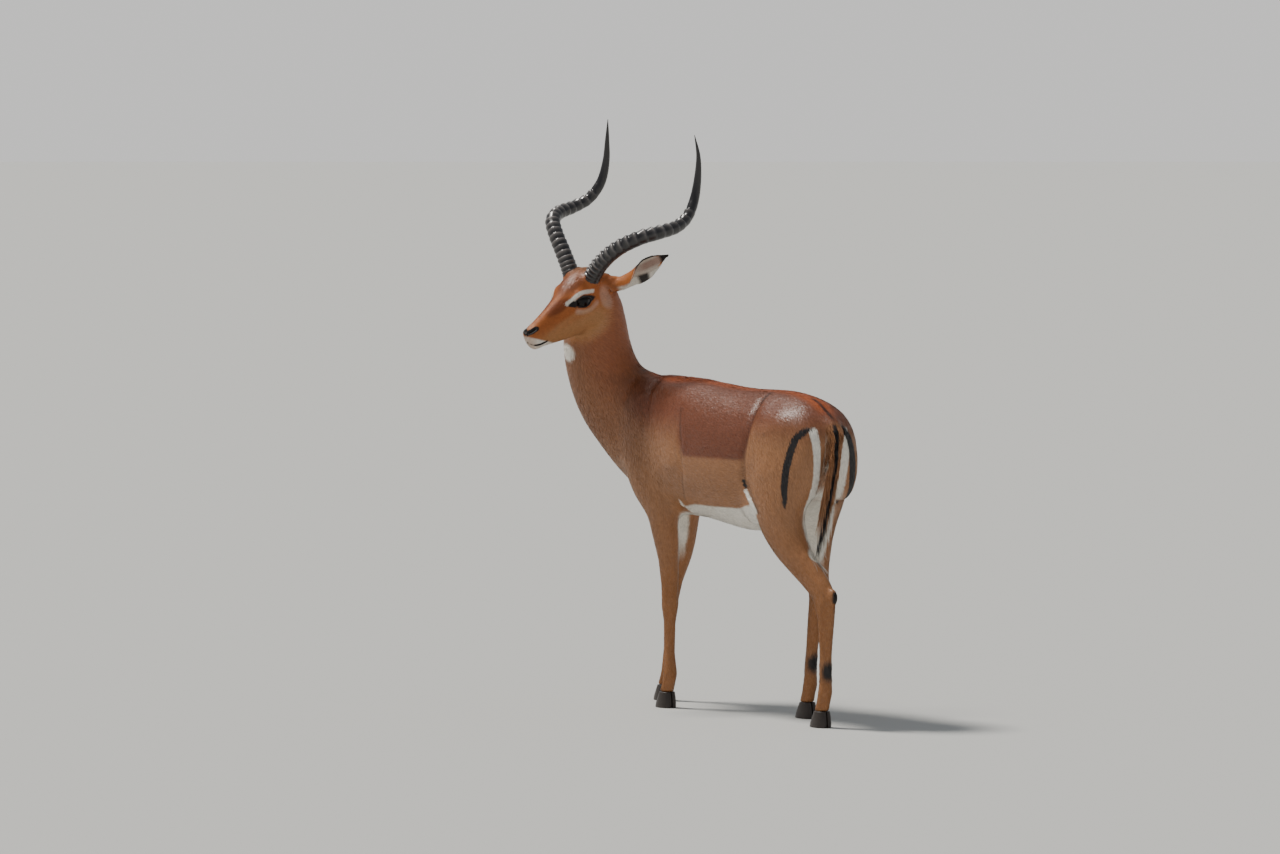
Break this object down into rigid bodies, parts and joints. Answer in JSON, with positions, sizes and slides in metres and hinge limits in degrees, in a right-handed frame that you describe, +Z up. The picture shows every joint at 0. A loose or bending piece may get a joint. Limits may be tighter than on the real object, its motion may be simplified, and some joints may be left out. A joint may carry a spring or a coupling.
{
  "type": "impala figure",
  "caption": "Life-size still figure of an adult male impala standing with head turned to its left, lyre-shaped ringed horns, slim legs and cloven hooves.",
  "frame": {"origin": "On the floor, at the middle of the bounding box seen from above.", "axes": "+Z up; the trunk faces -Y; the animal's left side is towards +X, and its head is turned towards +X."},
  "size_m": [0.5038, 1.1892, 1.5475],
  "materials": {
    "coat": "matt short fur",
    "horn": "satin",
    "eye": "gloss",
    "hoof": "satin"
  },
  "bodies": {
    "root": {"trunk": "coat", "neck": "coat", "head": "coat", "tail": "coat", "hindquarters": "coat", "ear_left": "coat", "ear_right": "coat", "foreleg_left_upper": "coat", "foreleg_left_lower": "coat", "hindleg_left_upper": "coat", "hindleg_left_lower": "coat", "foreleg_right_upper": "coat", "foreleg_right_lower": "coat", "hindleg_right_upper": "coat", "hindleg_right_lower": "coat", "horn_left": "horn", "eye_left": "eye", "horn_right": "horn", "eye_right": "eye", "hoof_fore_left_outer": "hoof", "hoof_fore_left_inner": "hoof", "hoof_fore_right_outer": "hoof", "hoof_fore_right_inner": "hoof", "hoof_hind_left_outer": "hoof", "hoof_hind_left_inner": "hoof", "hoof_hind_right_outer": "hoof", "hoof_hind_right_inner": "hoof"}
  },
  "joints": []
}
